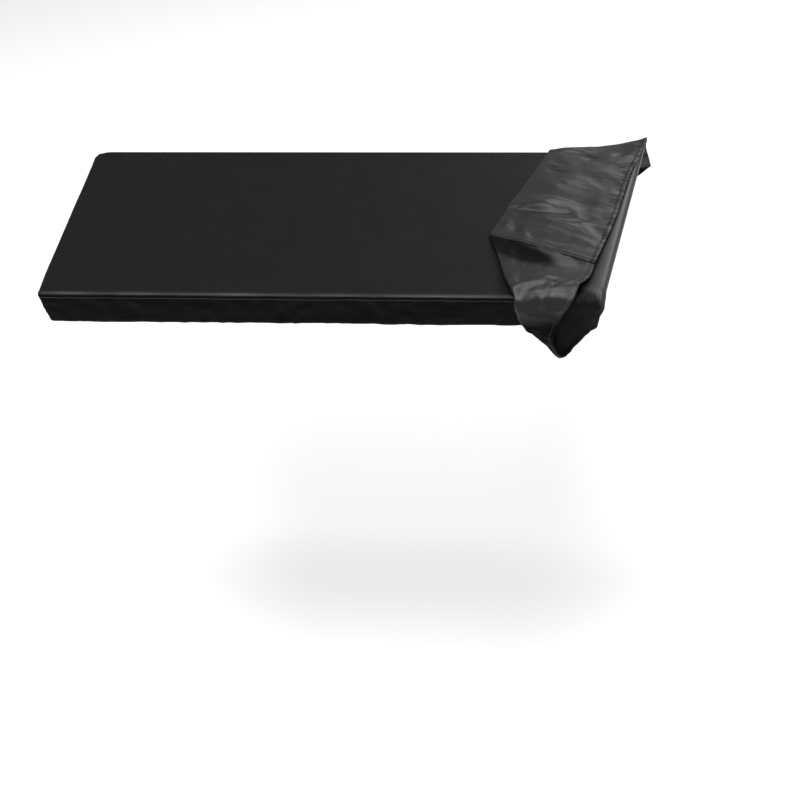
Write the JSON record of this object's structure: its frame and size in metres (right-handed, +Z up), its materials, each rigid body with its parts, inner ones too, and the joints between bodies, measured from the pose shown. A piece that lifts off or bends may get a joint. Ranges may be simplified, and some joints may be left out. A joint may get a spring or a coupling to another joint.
{
  "type": "keyboard dust cover",
  "caption": "Fitted soft dust cover for an electronic keyboard, its right end folded back in a loose flap over the top and front.",
  "frame": {"origin": "the keyboard_top mount, on the underside of the top panel over the middle of the covered part", "axes": "+X to the right, towards the folded-back end, +Y to the back, +Z up"},
  "size_m": [0.8411, 0.4083, 0.1389],
  "materials": {
    "top_cloth": "matte",
    "skirt_cloth": "matte",
    "satin_cloth": "satin"
  },
  "bodies": {
    "root": {"top_panel": "top_cloth", "front_skirt": "skirt_cloth", "back_skirt": "skirt_cloth", "left_skirt": "skirt_cloth", "right_skirt": "satin_cloth"}
  },
  "joints": []
}
